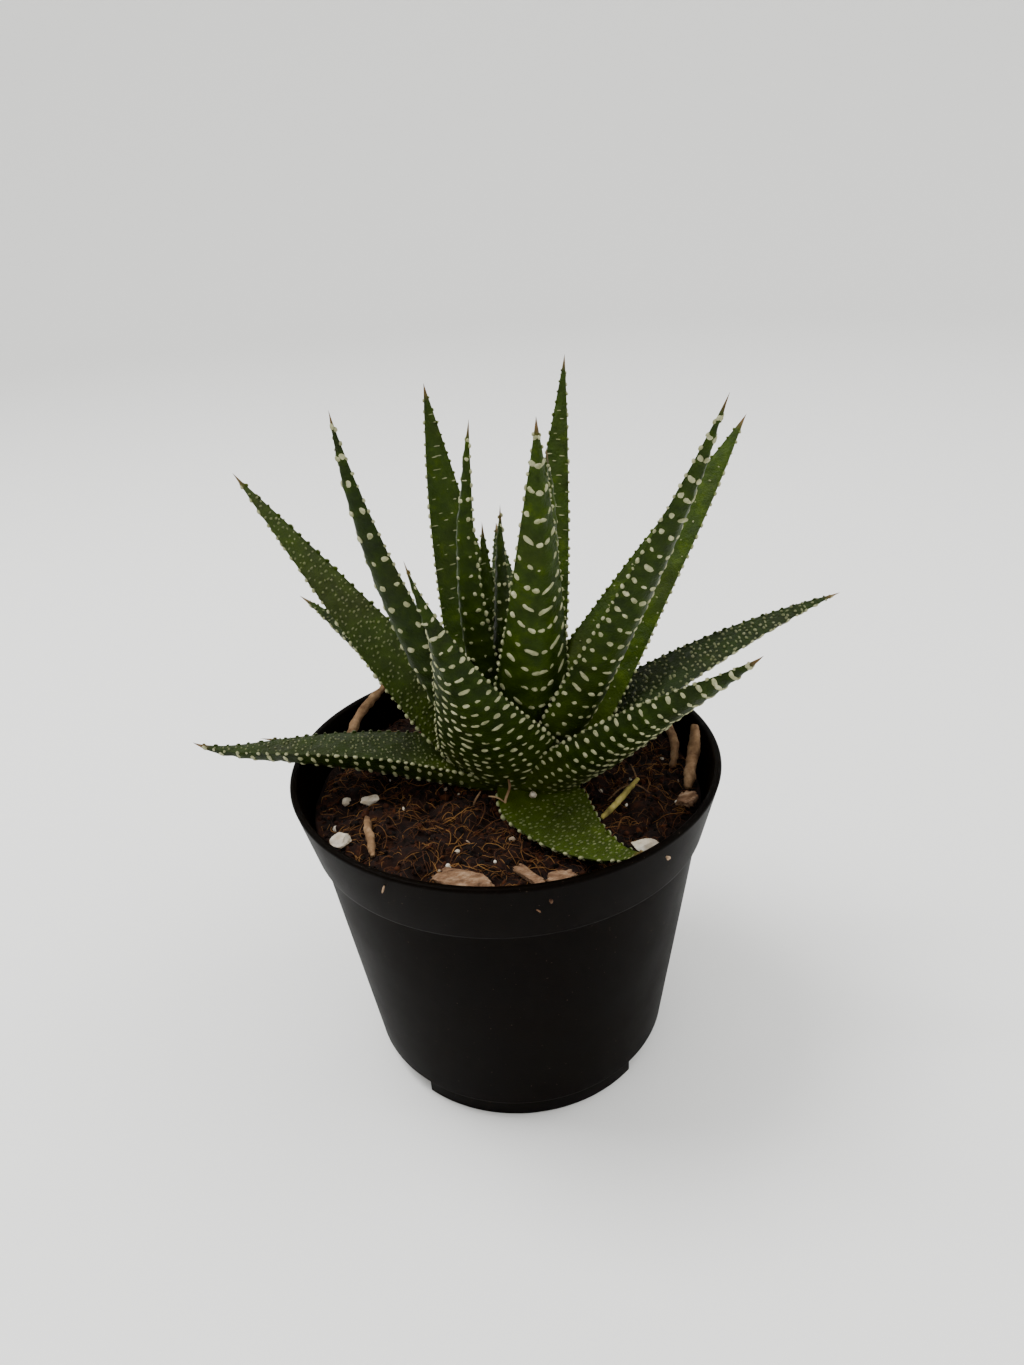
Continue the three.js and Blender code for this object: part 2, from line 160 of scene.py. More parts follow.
def leaf_cuticle():
    """Waxy cuticle over thick green tissue: satin, finely grained like orange peel, paler
    and yellower at the base, dry and tan at the tip. The tubercles are chalky cream."""
    # Specular level set below the usual 0.5, so that the skin comes out dark enough.
    made, tree, shader = material("leaf_cuticle", IOR=1.45, Specular_IOR_Level=0.11)
    coord = add(tree, "TexCoord").outputs["Object"]
    place = add(tree, "Attribute", attribute_name="place").outputs["Vector"]
    place = add(tree, "SeparateXYZ", Vector=place)
    mark = add(tree, "Attribute", attribute_name="mark").outputs["Vector"]
    mark = add(tree, "SeparateXYZ", Vector=mark)
    along, pale, tint = place.outputs
    ridge, bloom, dry = mark.outputs
    # A soft mottle of the green over about 4 mm.
    mottle = add(tree, "TexNoise", Vector=coord, Scale=per(3.85), Detail=6.0, Roughness=0.65)
    mottle = mottle.outputs["Fac"]
    level = add(tree, "Math", operation="MULTIPLY_ADD", in0=mottle, in1=0.9, in2=tint).outputs[0]
    level = add(tree, "Math", operation="MULTIPLY_ADD", in0=ridge, in1=0.12, in2=level).outputs[0]
    level = add(tree, "Math", operation="ADD", in0=level, in1=-0.45, use_clamp=True).outputs[0]
    green = add(tree, "ValToRGB", Fac=level, ramp=[
        (0.0, "#0d1501"), (0.3, "#192601"), (0.55, "#273701"), (0.8, "#3f5002"),
        (1.0, "#616d0a")]).outputs[0]
    # A brownish flush in patches about 14 mm across.
    flush = add(tree, "TexNoise", Vector=coord, Scale=per(14.3), Detail=3.0).outputs["Fac"]
    flush = add(tree, "MapRange", Value=flush, From_Min=0.5, From_Max=0.75, To_Max=0.3).outputs[0]
    green = add(tree, "MixRGB", Fac=flush, Color1=green, Color2="#221a07").outputs[0]
    # Yellower towards the leaf's base.
    base = add(tree, "MapRange", Value=along, From_Min=0.32, From_Max=0.0, To_Max=0.5).outputs[0]
    green = add(tree, "MixRGB", Fac=base, Color1=green, Color2="#4b5806").outputs[0]
    green = add(tree, "MixRGB", Fac=bloom, Color1=green, Color2="#596230").outputs[0]
    tip = add(tree, "MixRGB", Fac=dry, Color1=green, Color2="#5c472b").outputs[0]
    # The tubercles' cream varies over about a millimetre.
    chalk = add(tree, "TexNoise", Vector=coord, Scale=per(1.11), Detail=2.0).outputs["Fac"]
    cream = add(tree, "ValToRGB", Fac=chalk, ramp=[(0.3, "#8b8d66"), (0.7, "#b8b793")]).outputs[0]
    colour = add(tree, "MixRGB", Fac=pale, Color1=tip, Color2=cream).outputs[0]
    tree.links.new(colour, shader.inputs["Base Color"])
    rough = add(tree, "MapRange", Value=mottle, From_Min=0.3, From_Max=0.7, To_Min=0.42, To_Max=0.58)
    rough = rough.outputs[0]
    rough = add(tree, "Math", operation="MULTIPLY_ADD", in0=pale, in1=0.15, in2=rough).outputs[0]
    tree.links.new(rough, shader.inputs["Roughness"])
    # Pebbled skin at 0.36 mm, drawn coarser than the real cells so that it shows.
    cells = add(tree, "TexVoronoi", Vector=coord, Scale=per(0.357)).outputs["Distance"]
    grain = add(tree, "TexNoise", Vector=coord, Scale=per(0.667), Detail=4.0).outputs["Fac"]
    relief = add(tree, "Math", operation="MULTIPLY_ADD", in0=cells, in1=0.4, in2=grain).outputs[0]
    bump = add(tree, "Bump", Height=relief, Strength=0.6, Distance=0.3 * MM)
    tree.links.new(bump.outputs[0], shader.inputs["Normal"])
    return made


def moulded_polypropylene():
    """Black injection-moulded polypropylene: near-black, a little warm and dull, with a fine
    grain from the mould and a little dust and dried mix on it."""
    # Specular level set far below the usual 0.5, so that it comes out black enough.
    made, tree, shader = material("moulded_polypropylene", IOR=1.49, Specular_IOR_Level=0.02)
    coord = add(tree, "TexCoord").outputs["Object"]
    # Faint clouds about 22 mm across vary the black and the roughness.
    cloud = add(tree, "TexNoise", Vector=coord, Scale=per(22.2), Detail=6.0, Roughness=0.65)
    cloud = cloud.outputs["Fac"]
    black = add(tree, "ValToRGB", Fac=cloud, ramp=[(0.3, "#030100"), (0.7, "#060301")]).outputs[0]
    # Dust of the mix in specks under a millimetre.
    specks = add(tree, "TexNoise", Vector=coord, Scale=per(0.714), Detail=1.0).outputs["Fac"]
    specks = add(tree, "MapRange", Value=specks, From_Min=0.75, From_Max=0.8, To_Max=0.35).outputs[0]
    colour = add(tree, "MixRGB", Fac=specks, Color1=black, Color2="#54483a").outputs[0]
    tree.links.new(colour, shader.inputs["Base Color"])
    rough = add(tree, "MapRange", Value=cloud, From_Min=0.3, From_Max=0.7, To_Min=0.42, To_Max=0.52)
    rough = rough.outputs[0]
    tree.links.new(rough, shader.inputs["Roughness"])
    # The mould's fine grain, drawn coarse at 0.4 mm so that it shows.
    fine = add(tree, "TexNoise", Vector=coord, Scale=per(0.4), Detail=3.0).outputs["Fac"]
    bump = add(tree, "Bump", Height=fine, Strength=0.12, Distance=0.2 * MM)
    tree.links.new(bump.outputs[0], shader.inputs["Normal"])
    return made


def earthy(name, ramp, size_mm, rough=0.9, relief_mm=0.3, stretch=(1, 1, 1)):
    """A dry, matte, broken natural surface whose colour varies over size_mm."""
    made, tree, shader = material(name, Roughness=rough, IOR=1.4, Specular_IOR_Level=0.25)
    coord = add(tree, "TexCoord").outputs["Object"]
    coord = add(tree, "Mapping", Vector=coord, Scale=stretch).outputs[0]
    patch = add(tree, "TexNoise", Vector=coord, Scale=per(size_mm), Detail=6.0, Roughness=0.65)
    own = add(tree, "Attribute", attribute_name="place").outputs["Vector"]
    own = add(tree, "SeparateXYZ", Vector=own).outputs[1]
    level = add(tree, "Math", operation="ADD", in0=patch.outputs["Fac"], in1=own, use_clamp=True).outputs[0]
    colour = add(tree, "ValToRGB", Fac=level, ramp=ramp).outputs[0]
    tree.links.new(colour, shader.inputs["Base Color"])
    grit = add(tree, "TexNoise", Vector=coord, Scale=3.5 * per(size_mm), Detail=5.0, Roughness=0.7)
    bump = add(tree, "Bump", Height=grit.outputs["Fac"], Strength=0.7, Distance=relief_mm * MM)
    tree.links.new(bump.outputs[0], shader.inputs["Normal"])
    return made


CUTICLE = leaf_cuticle()
POLYPROPYLENE = moulded_polypropylene()
# Damp coir pith: crumbly, very dark brown, lighter where it has dried.
PITH = earthy("damp_coir_pith", [(0.35, "#070301"), (0.55, "#1b0b05"), (0.8, "#44230f")],
              size_mm=3.0, rough=0.95, relief_mm=0.6)
# Coir fibre: dry, stiff, dark to orange brown.
FIBRE = earthy("coir_fibre", [(0.2, "#1e0f06"), (0.5, "#4b2b13"), (0.85, "#8a6232")],
               size_mm=6.0, rough=0.75, relief_mm=0.1)
# Dry root: a tan, rough skin with dark stains.
ROOT = earthy("dry_root", [(0.3, "#3a2516"), (0.5, "#765b40"), (0.75, "#ab8e6c")],
              size_mm=5.0, rough=0.85, relief_mm=0.3)
# Split bark: brown to tan wood torn along its grain.
BARK = earthy("split_bark", [(0.25, "#301c10"), (0.5, "#735740"), (0.8, "#b0967a")],
              size_mm=3.0, rough=0.9, relief_mm=0.4, stretch=(1, 2.4, 1))
# Perlite: popped volcanic glass, off-white, pitted, stained by the mix in places.
PERLITE = earthy("perlite", [(0.25, "#8a7763"), (0.42, "#b5a893"), (0.7, "#d6cfc1")],
                 size_mm=2.5, rough=0.95, relief_mm=0.35)
# Dry twig: yellowish, with a finely rough skin.
TWIG_SKIN = earthy("dry_twig", [(0.3, "#4e4520"), (0.55, "#8c8042"), (0.8, "#b5a767")],
                   size_mm=4.0, rough=0.8, relief_mm=0.2)

# ---------------------------------------------------------------- leaves

# Where the leaves spring from, in mm: a little off the pot's axis.
CROWN = np.array([4.0, 5.0, 74.0])

# Spots on the back of a leaf: distance between rows and spots in a row, at the base and at the
# tip; half-lengths of a spot across and along the leaf; how often neighbours join into a dash;
# and how far, in mm, a row sags from the margins to the keel.
BACKS = {
    "banded": dict(rows=(4.9, 5.2), spots=(9, 1.6), wide=0.95, high=0.6, joined=0.6, sag=5.5),
    "bold": dict(rows=(5.2, 5.8), spots=(5, 2), wide=0.75, high=0.75, joined=0.05, sag=1.5),
    "packed": dict(rows=(2.4, 4.4), spots=(10, 2.6), wide=0.95, high=0.58, joined=0.08, sag=2.0),
    "dashed": dict(rows=(3.6, 4.6), spots=(7, 2.4), wide=0.85, high=0.6, joined=0.25, sag=4.0),
    "dotted": dict(rows=(3.4, 4.4), spots=(5, 1.4), wide=0.62, high=0.5, joined=0.1, sag=3.0),
}
# Marks on the flat face: the distance between them, their half-lengths across and along, and
# how pale they are.
FACES = {
    "lined": dict(gap=3.0, wide=0.85, high=0.16, pale=0.6),
    "grained": dict(gap=1.6, wide=0.45, high=0.26, pale=0.25),
    "rough": dict(gap=1.7, wide=0.6, high=0.36, pale=0.3),
    "smooth": dict(gap=4.5, wide=0.3, high=0.22, pale=0.55),
}

# The same leaves as in the frame, with their marks. Tint goes from deep to yellow green, bloom
# is how grey the wax on the face is, and teeth is the half-length of a bead on the margin.
LEAVES = [
    dict(name="leaf_inner_1", az=-108, lean0=20, lean1=-13, length=65, width=8, keel=4, reach=1, rise=8,
         back="dotted", face="smooth", tint=0.3),
    dict(name="leaf_inner_2", az=125, lean0=20, lean1=-2, length=59, width=11, keel=4, reach=1, rise=6,
         back="dotted", face="lined", tint=0.5),
    dict(name="leaf_inner_3", az=10, lean0=14, lean1=-3, length=77, width=12, keel=4, reach=2, rise=6,
         back="dotted", face="lined", tint=0.5),
    dict(name="leaf_inner_4", az=-144, lean0=19, lean1=-10, length=86, width=14, keel=5, reach=2, rise=6,
         back="dotted", face="lined", tint=0.42),
    dict(name="leaf_upright_1", az=-77, lean0=26, lean1=4, length=95, width=21, keel=6, reach=2, rise=4,
         back="banded", face="lined", tint=0.45),
    dict(name="leaf_upright_2", az=117, lean0=30, lean1=13, length=94, width=22, keel=5, reach=5, rise=4,
         back="dashed", face="lined", tint=0.5),
    dict(name="leaf_upright_3", az=68, lean0=30, lean1=20, length=100, width=17, keel=5, reach=4, rise=4,
         back="dashed", face="lined", tint=0.48),
    dict(name="leaf_middle_1", az=-149, lean0=35, lean1=7, length=101, width=19, keel=6, reach=3, rise=4,
         roll=12, back="bold", face="smooth", tint=0.28),
    dict(name="leaf_middle_2", az=-47, lean0=32, lean1=24, length=112, width=20, keel=6, reach=4, rise=2,
         roll=-5, back="dashed", face="smooth", tint=0.36),
    dict(name="leaf_middle_3", az=20, bend=4, lean0=36, lean1=37, length=99, width=25, keel=6, reach=4,
         rise=2, roll=24, back="dotted", face="smooth", tint=0.56),
    dict(name="leaf_middle_4", az=-112, bend=-30, lean0=38, lean1=18, length=80, width=34, keel=7,
         reach=3, rise=1, roll=10, taper=2.1, back="packed", face="smooth", tint=0.28),
    dict(name="leaf_outer_1", az=173, lean0=38, lean1=33, length=95, width=20, keel=6, reach=6, rise=2,
         roll=-28, back="packed", face="grained", tint=0.42, bloom=0.1, teeth=0.68),
    dict(name="leaf_outer_2", az=5, lean0=50, lean1=75, length=85, width=21, keel=6, reach=5, rise=2,
         roll=8, back="packed", face="rough", tint=0.22),
    dict(name="leaf_outer_3", az=-42, lean0=42, lean1=60, length=76, width=25, keel=8, reach=6, rise=1,
         roll=-22, hook=-14, full=2.6, back="packed", face="rough", tint=0.26, bloom=0.15),
    dict(name="leaf_low_1", az=-174, bend=-4, lean0=61, lean1=105, length=75, width=18, keel=8, reach=6,
         rise=2.8, hook=-48, full=3.5, back="packed", face="grained", tint=0.2, bloom=0.05),
    dict(name="leaf_low_2", az=-17, lean0=67, lean1=48, length=44, width=16, keel=5, reach=6, rise=1,
         back="packed", face="rough", tint=0.1),
    dict(name="leaf_low_3", az=-76, bend=46, lean0=98, lean1=77, length=45, width=24, keel=5, reach=8,
         rise=2.6, hook=-20, full=3, waist=0.7, back="packed", face="grained", tint=0.5, bloom=0.15,
         teeth=0.75),
    dict(name="leaf_back_1", az=92, lean0=48, lean1=58, length=72, width=17, keel=6, reach=6, rise=2,
         back="dashed", face="grained", tint=0.3),
    dict(name="leaf_back_2", az=148, lean0=52, lean1=66, length=70, width=17, keel=6, reach=6, rise=2,
         back="packed", face="grained", tint=0.28),
    dict(name="leaf_back_3", az=55, lean0=62, lean1=74, length=62, width=17, keel=6, reach=6, rise=2,
         back="packed", face="rough", tint=0.25),
    dict(name="leaf_low_4", az=176, lean0=81, lean1=81, length=60, width=11, keel=3, reach=6, rise=3,
         back="dotted", face="rough", tint=0.28),
]


class Leaf:
    """The smooth body of one leaf: a curved midline with a flat face and a keeled back."""

    def __init__(self, az, lean0, lean1, length, width, keel, reach, rise, bend=0, hook=0, roll=0,
                 taper=1, waist=0.84, full=1.8, seed=0, **_):
        self.length, self.width, self.keel = length, width, keel
        self.taper, self.waist, self.full = taper, waist, full
        self.outline = 1.9 if taper > 1 else 1.5
        self.s = np.linspace(0, 1, 201)
        lean = np.radians(lean0 + (lean1 - lean0) * self.s + hook * self.s ** 8)
        turn = np.radians(az + bend * self.s ** 1.5)
        source = np.random.default_rng(seed)
        # A grown leaf is never quite true: a slight sway both ways, which cancels by the tip.
        sway = 2 * math.pi * self.s
        lean = lean + np.radians(1.3) * np.sin(sway * source.integers(1, 3) + source.uniform(0, 6))
        turn = turn + np.radians(1.3) * np.sin(sway * source.integers(1, 3) + source.uniform(0, 6))
        flat = np.stack([np.cos(turn), np.sin(turn), 0 * turn], -1)
        up = np.array([0, 0, 1.0])
        self.along = flat * np.sin(lean)[:, None] + up * np.cos(lean)[:, None]
        level = -flat * np.cos(lean)[:, None] + up * np.sin(lean)[:, None]
        across = np.cross(self.along, level)
        twist = math.radians(roll)
        self.front = level * math.cos(twist) + across * math.sin(twist)
        self.side = np.cross(self.along, self.front)
        steps = (self.along[1:] + self.along[:-1]) / 2 * length / 200
        start = CROWN + [reach * math.cos(math.radians(az)), reach * math.sin(math.radians(az)), rise]
        self.middle = start + np.concatenate([np.zeros((1, 3)), np.cumsum(steps, 0)])

    def half(self, s):
        swell = self.waist + (1 - self.waist) * np.clip(s / 0.22, 0, 1)
        return self.width / 2 * swell * (1 - np.clip(s, 0, 1) ** self.outline) ** self.taper

    def deep(self, s):
        return self.keel * (0.75 + 0.25 * np.clip(s / 0.3, 0, 1)) * (1 - np.clip(s, 0, 1) ** 1.6) ** 0.9

    def follow(self, values, s):
        return np.stack([np.interp(s, self.s, values[:, i]) for i in range(3)], -1)

    def at(self, s, x, back):
        """Points of the skin: s runs from base to tip, x from margin to margin (-1..1)."""
        deep = self.deep(s)
        bow = 1 - np.abs(x) ** (self.full + 0.15 - 0.5 * s)
        dish = 0.10 * deep * (1 - x * x) - 0.09 * self.half(s) * (1 - x * x) * (1 - s)
        height = np.where(back, -deep * bow, dish)
        spread = self.follow(self.side, s) * (self.half(s) * x)[:, None]
        return self.follow(self.middle, s) + spread + self.follow(self.front, s) * height[:, None]

    def axes(self, s, x, back):
        """Unit vectors on the skin: out of it, across the leaf and along it."""
        step = 0.004
        right, left = np.clip(x + step * 2, -1, 1), np.clip(x - step * 2, -1, 1)
        after, before = np.clip(s + step, 0, 1), np.clip(s - step, 0, 1)
        across = normalised(self.at(s, right, back) - self.at(s, left, back))
        lengthways = normalised(self.at(after, x, back) - self.at(before, x, back))
        out = normalised(np.cross(lengthways, across))
        facing = np.einsum("ij,ij->i", out, self.follow(self.front, s)) * np.where(back, -1, 1)
        return out * np.sign(facing + 1e-9)[:, None], across, lengthways


def round_bead(segments=10, rings=5):
    """A unit bead: directions of its vertices and its faces."""
    rows = []
    for i in range(1, rings):
        tilt = math.pi * i / rings
        for j in range(segments):
            turn = 2 * math.pi * j / segments
            rows.append([math.sin(tilt) * math.cos(turn), math.sin(tilt) * math.sin(turn), math.cos(tilt)])
    rows += [[0, 0, 1], [0, 0, -1]]
    points = np.array(rows)
    quads = grid_faces(rings - 1, segments, True)[:, ::-1]
    top, bottom = len(rows) - 2, len(rows) - 1
    ring = np.arange(segments)
    caps = [np.stack([ring * 0 + top, ring, (ring + 1) % segments], -1)]
    low = (rings - 2) * segments
    caps.append(np.stack([ring * 0 + bottom, low + (ring + 1) % segments, low + ring], -1))
    return points, quads, np.concatenate(caps)


BEAD_POINTS, BEAD_QUADS, BEAD_CAPS = round_bead()


def beads(centres, out, across, along, wide, high, raised, source):
    """Raised, slightly irregular beads sitting on a skin; returns points, quads, triangles."""
    count = len(centres)
    turn = np.arctan2(BEAD_POINTS[:, 1], BEAD_POINTS[:, 0])
    phases = source.uniform(0, 6.28, (count, 3, 1))
    swell = 1 + 0.10 * np.cos(2 * turn + phases[:, 0]) + 0.07 * np.cos(3 * turn + phases[:, 1])
    swell = swell + 0.05 * np.cos(4 * turn + phases[:, 2])
    local = BEAD_POINTS[None] * np.stack([swell, swell, np.ones_like(swell)], -1)
    points = centres[:, None] + across[:, None] * (local[..., 0] * wide[:, None])[..., None]
    points = points + along[:, None] * (local[..., 1] * high[:, None])[..., None]
    points = points + out[:, None] * (local[..., 2] * raised[:, None])[..., None]
    offset = (np.arange(count) * len(BEAD_POINTS))[:, None, None]
    return points.reshape(-1, 3), (BEAD_QUADS + offset).reshape(-1, 4), (BEAD_CAPS + offset).reshape(-1, 3)


def back_spots(leaf, style, source):
    """Rows of pearly tubercles over the back, each row sagging towards the keel.

    Each has its place along and across, its two half-lengths and the slope of its row."""
    rows = []
    place = 3.0
    while place < leaf.length * 0.97:
        s = place / leaf.length
        base, tip = style["spots"]
        narrow = float(leaf.half(s) / leaf.half(0.25))
        count = max(1, round(tip + (base - tip) * narrow + source.uniform(-0.4, 0.4)))
        xs = (np.arange(count) + 0.5) / count * 2 - 1
        xs = xs + source.uniform(-0.22, 0.22, count) / count
        stretch = 0.72 + 0.28 * min(1.0, 3 * s)
        skip = False
        for i, x in enumerate(xs):
            if skip:
                skip = False
                continue
            wide = style["wide"] * stretch * source.uniform(0.72, 1.15)
            if i + 1 < count and source.uniform() < style["joined"] * (1 - s):
                wide, x, skip = wide * 1.9, (x + xs[i + 1]) / 2, True
            high = style["high"] * stretch * source.uniform(0.85, 1.15)
            lift = style["sag"] * x * x * leaf.half(s) / 8 + source.uniform(-0.2, 0.2)
            slope = style["sag"] * x / 4
            wide = min(wide, leaf.half(s) * 0.4 + 0.15)
            rows.append([(place + lift) / leaf.length, x, wide, high, slope])
        base, tip = style["rows"]
        place += (base + (tip - base) * s) * source.uniform(0.9, 1.1)
    return np.array([r for r in rows if r[0] < 0.975])


def face_marks(leaf, style, source):
    """Small marks over the flat face, on a loosely staggered grid."""
    rows = []
    gap = style["gap"]
    for i, place in enumerate(np.arange(8.0, leaf.length * 0.96, gap * 0.87)):
        half = float(leaf.half(place / leaf.length))
        for place_across in np.arange(-half + gap * (0.4 + 0.5 * (i % 2)), half - 0.4, gap):
            if source.uniform() < 0.16:
                continue
            s = (place + source.uniform(-0.3, 0.3) * gap) / leaf.length
            x = np.clip((place_across + source.uniform(-0.3, 0.3) * gap) / half, -0.95, 0.95)
            wide = style["wide"] * source.uniform(0.5, 1.25)
            rows.append([s, x, wide, style["high"] * source.uniform(0.7, 1.2), 0.0])
    return np.array(rows)


def margin_teeth(leaf, size, source):
    """Hard beads along both margins, unevenly spaced and smaller towards the tip."""
    rows = []
    for edge in (-1, 1):
        place = 3.0
        while place < leaf.length * 0.965:
            s = place / leaf.length
            own = size * source.uniform(0.7, 1.15) * (1 - 0.35 * s)
            rows.append([s, edge * 0.998, own, own * source.uniform(0.9, 1.5), 0.0])
            place += size * source.uniform(3.2, 4.8) * (0.75 + 0.5 * s)
    return np.array(rows)


def leaf_piece(row, seed):
    """One leaf: its skin, the tubercles on its back, the teeth on its margins, its face marks."""
    source = np.random.default_rng(seed)
    leaf = Leaf(seed=seed, **row)
    # Skin: a grid of rings, each over the face from margin to margin and back round the keel.
    stations, across = 130, 22
    s = 0.9985 * (1 - (1 - np.linspace(0, 1, stations)) ** 1.15)
    sweep = -np.cos(np.linspace(0, math.pi, across + 1))
    xs = np.concatenate([sweep, sweep[::-1][1:-1]])
    back = np.concatenate([np.zeros(across + 1, bool), np.ones(across - 1, bool)])
    ss, xx, bb = np.repeat(s, len(xs)), np.tile(xs, stations), np.tile(back, stations)
    skin = leaf.at(ss, xx, bb)
    out, _, _ = leaf.axes(ss, xx, bb)
    spots = back_spots(leaf, BACKS[row["back"]], source)
    marks = face_marks(leaf, FACES[row["face"]], source)
    teeth = margin_teeth(leaf, row.get("teeth", 0.56), source)
    # The tissue swells a little under each row of tubercles, and the face is finely lumpy.
    nearest = np.full(len(ss), 9.0)
    for at_s, x, *_ in spots:
        gap = np.hypot((ss - at_s) * leaf.length, (xx - x) * leaf.half(ss) * 0.8)
        nearest = np.minimum(nearest, gap)
    ridge = np.where(bb, np.exp(-(nearest / 1.2) ** 2), 0.0)
    fade = np.clip((1 - ss) * 8, 0, 1) * (1 - 0.7 * np.abs(xx) ** 6)
    lumpy = 0.10 * ripple(skin, 5.0, seed) + 0.07 * ripple(skin, 1.8, seed + 1)
    skin = skin + out * ((0.25 * ridge + lumpy) * fade)[:, None]
    quads = grid_faces(stations, len(xs), True)
    caps = closed_ends(stations, len(xs))
    ends = leaf.at(np.array([0.0, 1.0]), np.zeros(2), np.zeros(2, bool))
    skin = np.concatenate([skin, ends])

    def dryness(at_s):
        """How dry the tissue is: only the last few millimetres have died back."""
        return np.clip((at_s - 1) * leaf.length / 2.5 + 1.7, 0, 1)

    bloom = row.get("bloom", 0.0)
    points, all_quads, all_tris = [skin], [quads], [caps]
    at_all = np.append(ss, [0, 1])
    flags = np.append(~bb, [True, True]) * bloom * np.clip(at_all * 3, 0, 1)
    places = [np.stack([at_all, 0 * at_all, 0 * at_all + row["tint"]], -1)]
    shades = [np.stack([np.append(ridge, [0, 0]), flags, dryness(at_all)], -1)]
    offset = len(skin)
    # Each group: its beads, whether they sit on the back, how pale and how bold they are, and how
    # far down their sides the pale colour goes.
    groups = [(spots, True, 1.0, 0.62, 0.75), (teeth, True, 0.85, 0.95, 0.3),
              (marks, False, FACES[row["face"]]["pale"], 0.75, 0.6)]
    for table, on_back, pale, boldness, cover in groups:
        at_s, x, wide, high, slope = table.T
        behind = np.full(len(at_s), on_back)
        raised = np.minimum(wide, high) * boldness
        outward, sideways, lengthways = leaf.axes(at_s, x, behind)
        rim = np.abs(x) > 0.99
        if rim.any():
            edgewise = leaf.follow(leaf.side, at_s) * np.sign(x)[:, None]
            outward = normalised(edgewise + 0.25 * outward)
            sideways = normalised(np.cross(lengthways, outward))
        # Turned to lie along their row.
        turned = normalised(sideways + lengthways * slope[:, None])
        lengthways = normalised(lengthways - sideways * slope[:, None])
        sideways = turned
        centre = leaf.at(at_s, x, behind) + outward * (raised * 0.12)[:, None]
        made, bead_quads, bead_tris = beads(
            centre, outward, sideways, lengthways, wide, high, raised, source)
        points.append(made)
        all_quads.append(bead_quads + offset)
        all_tris.append(bead_tris + offset)
        offset += len(made)
        each = len(BEAD_POINTS)
        shade = pale * source.uniform(0.7, 1.0, len(at_s)) * np.clip(0.5 + 3 * at_s, 0, 1)
        lift = np.clip(BEAD_POINTS[:, 2] * 1.6 + cover, 0.0, 1.0)
        places.append(np.stack([np.repeat(at_s, each), (shade[:, None] * lift[None]).ravel(),
                                np.full(len(made), row["tint"] + 0.12)], -1))
        grey = np.full(len(made), 0.0 if on_back else bloom)
        shades.append(np.stack([np.zeros(len(made)), grey, np.repeat(dryness(at_s), each)], -1))
    faces = [np.concatenate(all_quads), np.concatenate(all_tris)]
    layers = {"place": np.concatenate(places), "mark": np.concatenate(shades)}
    name = row["name"]
    piece(name + "_spotted", np.concatenate(points), faces, CUTICLE, name, marks=layers)


for number, row in enumerate(LEAVES):
    leaf_piece(row, 100 + number)

# ---------------------------------------------------------------- pot

# Half the pot's section, in mm: from the middle of its underside, over the boss, the foot ring,
# the body, the ledge and the collar to the rim, and down the inside to the floor.
POT_PROFILE = [
    (0, 0), (11.7, 0), (12.1, 0.3), (13.9, 3.4), (14.3, 3.6), (35.5, 3.6), (35.8, 3.3), (35.8, 0.4),
    (36.1, 0.05), (36.5, 0), (37.0, 0.05), (37.35, 0.4), (37.4, 4.9), (37.6, 5.3), (38.3, 5.5),
    (38.75, 5.75), (38.95, 6.1), (39.0, 6.6), (43.1, 36), (47.2, 65.6), (47.35, 66.6), (47.7, 67.0),
    (48.2, 67.05), (48.55, 67.3), (48.7, 67.8), (50.4, 75), (52.05, 81.9), (52.2, 82.5),
    (52.05, 82.85), (51.7, 83.0), (50.95, 83.0), (50.6, 82.85), (50.4, 82.5), (50.1, 81),
    (47.7, 69.4), (47.3, 68.3), (46.7, 67.6), (46.2, 67.2), (45.9, 65.5), (37.8, 8), (37.2, 5.6),
    (36.4, 4.9), (35.6, 4.8), (14.0, 4.8), (13.2, 4.5), (11.9, 1.6), (11.3, 1.2), (0, 1.2)]


def pot_piece():
    """The pot turned from its section, with the foot's notches and the drains cut out."""
    segments = 200
    profile = np.array(POT_PROFILE, float)
    turn = np.arange(segments) * 2 * math.pi / segments
    inner = profile[1:-1]
    radius, height = inner[:, :1], np.repeat(inner[:, 1:], segments, 1)
    rings = np.stack([radius * np.cos(turn), radius * np.sin(turn), height], -1)
    points = rings.reshape(-1, 3)
    # The wall is soft: hand pressure leaves it very slightly out of round.
    warp = 1 + 0.003 * np.sin(2 * np.arctan2(points[:, 1], points[:, 0]) + 0.7) * (points[:, 2] / 83)
    points[:, :2] *= warp[:, None] / 1.003
    points = np.concatenate([points, [[0, 0, 0], [0, 0, 1.2]]])
    faces = [grid_faces(len(inner), segments, True), closed_ends(len(inner), segments)]
    pot = piece("pot_moulded", points, faces, POLYPROPYLENE, "pot")
    cutters = []
    foot = 36.4 * MM
    for i in range(3):
        bpy.ops.mesh.primitive_cube_add(size=1)
        notch = bpy.context.object
        angle = math.radians(-27.5 + 120 * i)
        notch.scale = (6 * MM, 21 * MM, 10.4 * MM)
        notch.rotation_euler = (0, 0, angle)
        notch.location = (foot * math.cos(angle), foot * math.sin(angle), 0)
        cutters.append(notch)
    drain_circle = 25 * MM
    for i in range(8):
        angle = (i + 0.5) * math.pi / 4
        bpy.ops.mesh.primitive_cylinder_add(vertices=32, radius=3 * MM, depth=5 * MM)
        drain = bpy.context.object
        drain.location = (drain_circle * math.cos(angle), drain_circle * math.sin(angle), 3.6 * MM)
        cutters.append(drain)
    for cutter in cutters:
        cut = pot.modifiers.new("cut", "BOOLEAN")
        cut.object = cutter
        cut.solver = "EXACT"
    bpy.context.view_layer.update()
    shaped = bpy.data.meshes.new_from_object(pot.evaluated_get(bpy.context.evaluated_depsgraph_get()))
    pot.modifiers.clear()
    pot.data = shaped
    for cutter in cutters:
        bpy.data.objects.remove(cutter)
    return pot


pot_piece()

